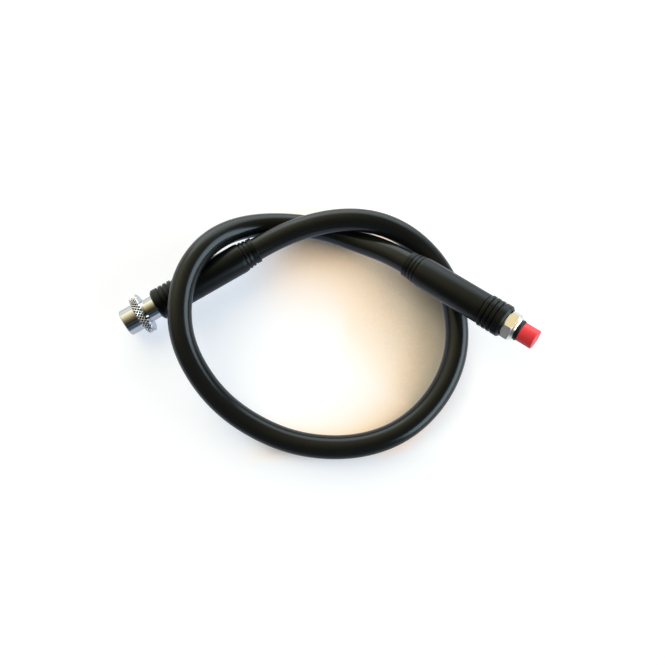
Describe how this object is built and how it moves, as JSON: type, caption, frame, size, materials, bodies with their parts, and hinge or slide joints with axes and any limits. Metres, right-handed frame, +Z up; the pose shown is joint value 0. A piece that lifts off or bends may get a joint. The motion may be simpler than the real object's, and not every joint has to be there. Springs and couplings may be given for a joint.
{
  "type": "low pressure inflator hose",
  "caption": "Rubber low pressure hose lying in a loose overhand loop, with a quick release coupler at one end and a capped threaded fitting at the other.",
  "frame": {"origin": "on the table under the middle of the two fittings' common box, without the free hose", "axes": "+X from the coupler's end to the regulator end, +Z up from the table"},
  "size_m": [0.228, 0.1416, 0.0442],
  "materials": {
    "hose_rubber": "satin moulded rubber",
    "protector_rubber": "smooth moulded rubber",
    "chrome": "polished chrome plate",
    "plated_brass": "nickel plate, slightly warm",
    "spring_steel": "drawn wire",
    "ball_steel": "ground and polished",
    "ferrule_steel": "drawn and crimped",
    "brass": "turned",
    "seal_rubber": "smooth",
    "cap_plastic": "moulded, semi-gloss red"
  },
  "bodies": {
    "hose_and_fittings": {"hose": "hose_rubber", "coupler_body": "chrome", "retaining_ring": "spring_steel", "coupler_seal": "seal_rubber", "coupler_stem": "brass", "stem_seal": "seal_rubber", "valve_core": "brass", "valve_spring": "spring_steel", "coupler_ferrule": "ferrule_steel", "coupler_hose_protector": "protector_rubber", "regulator_fitting": "plated_brass", "regulator_seal": "seal_rubber", "regulator_ferrule": "ferrule_steel", "regulator_hose_protector": "protector_rubber"},
    "collar_spring": {"collar_spring": "spring_steel"},
    "release_collar": {"release_collar": "chrome"},
    "locking_ball_1": {"locking_ball_1": "ball_steel"},
    "locking_ball_2": {"locking_ball_2": "ball_steel"},
    "locking_ball_3": {"locking_ball_3": "ball_steel"},
    "locking_ball_4": {"locking_ball_4": "ball_steel"},
    "locking_ball_5": {"locking_ball_5": "ball_steel"},
    "locking_ball_6": {"locking_ball_6": "ball_steel"},
    "valve": {"valve_pin": "brass", "valve_seal": "seal_rubber"},
    "thread_cap": {"thread_cap": "cap_plastic"}
  },
  "joints": [
    {"name": "collar_slide", "type": "slide", "parent": "hose_and_fittings", "child": "collar_spring", "axis": [0.8639, 0.4988, 0.0698], "range_m": [0, 0.0032], "stiffness_N_per_m": 400, "springref_m": -0.004, "deforming": ["collar_spring"]},
    {"name": "collar_spin", "type": "hinge", "parent": "collar_spring", "child": "release_collar", "pos_m": [-0.10495, -0.00951, 0.01135], "axis": [0.8639, 0.4988, 0.0698], "continuous": true},
    {"name": "ball_1_lift", "type": "slide", "parent": "hose_and_fittings", "child": "locking_ball_1", "axis": [0.0604, 0.0349, -0.9976], "range_m": [0, 0.0007]},
    {"name": "ball_2_lift", "type": "slide", "parent": "hose_and_fittings", "child": "locking_ball_2", "axis": [-0.4028, 0.7674, -0.4988], "range_m": [0, 0.0007]},
    {"name": "ball_3_lift", "type": "slide", "parent": "hose_and_fittings", "child": "locking_ball_3", "axis": [-0.4632, 0.7326, 0.4988], "range_m": [0, 0.0007]},
    {"name": "ball_4_lift", "type": "slide", "parent": "hose_and_fittings", "child": "locking_ball_4", "axis": [-0.0604, -0.0349, 0.9976], "range_m": [0, 0.0007]},
    {"name": "ball_5_lift", "type": "slide", "parent": "hose_and_fittings", "child": "locking_ball_5", "axis": [0.4028, -0.7674, 0.4988], "range_m": [0, 0.0007]},
    {"name": "ball_6_lift", "type": "slide", "parent": "hose_and_fittings", "child": "locking_ball_6", "axis": [0.4632, -0.7326, -0.4988], "range_m": [0, 0.0007]},
    {"name": "valve_press", "type": "slide", "parent": "hose_and_fittings", "child": "valve", "axis": [0.8639, 0.4988, 0.0698], "range_m": [0, 0.0015], "stiffness_N_per_m": 600, "springref_m": -0.0015, "deforming": ["valve_spring"]},
    {"name": "cap_pull", "type": "slide", "parent": "hose_and_fittings", "child": "thread_cap", "axis": [0.7646, -0.5974, 0.2419], "range_m": [0, 0.012]}
  ],
  "couplings": [
    {"joint": "ball_1_lift", "follows": "collar_slide", "ratio": 0.21875},
    {"joint": "ball_2_lift", "follows": "collar_slide", "ratio": 0.21875},
    {"joint": "ball_3_lift", "follows": "collar_slide", "ratio": 0.21875},
    {"joint": "ball_4_lift", "follows": "collar_slide", "ratio": 0.21875},
    {"joint": "ball_5_lift", "follows": "collar_slide", "ratio": 0.21875},
    {"joint": "ball_6_lift", "follows": "collar_slide", "ratio": 0.21875}
  ]
}
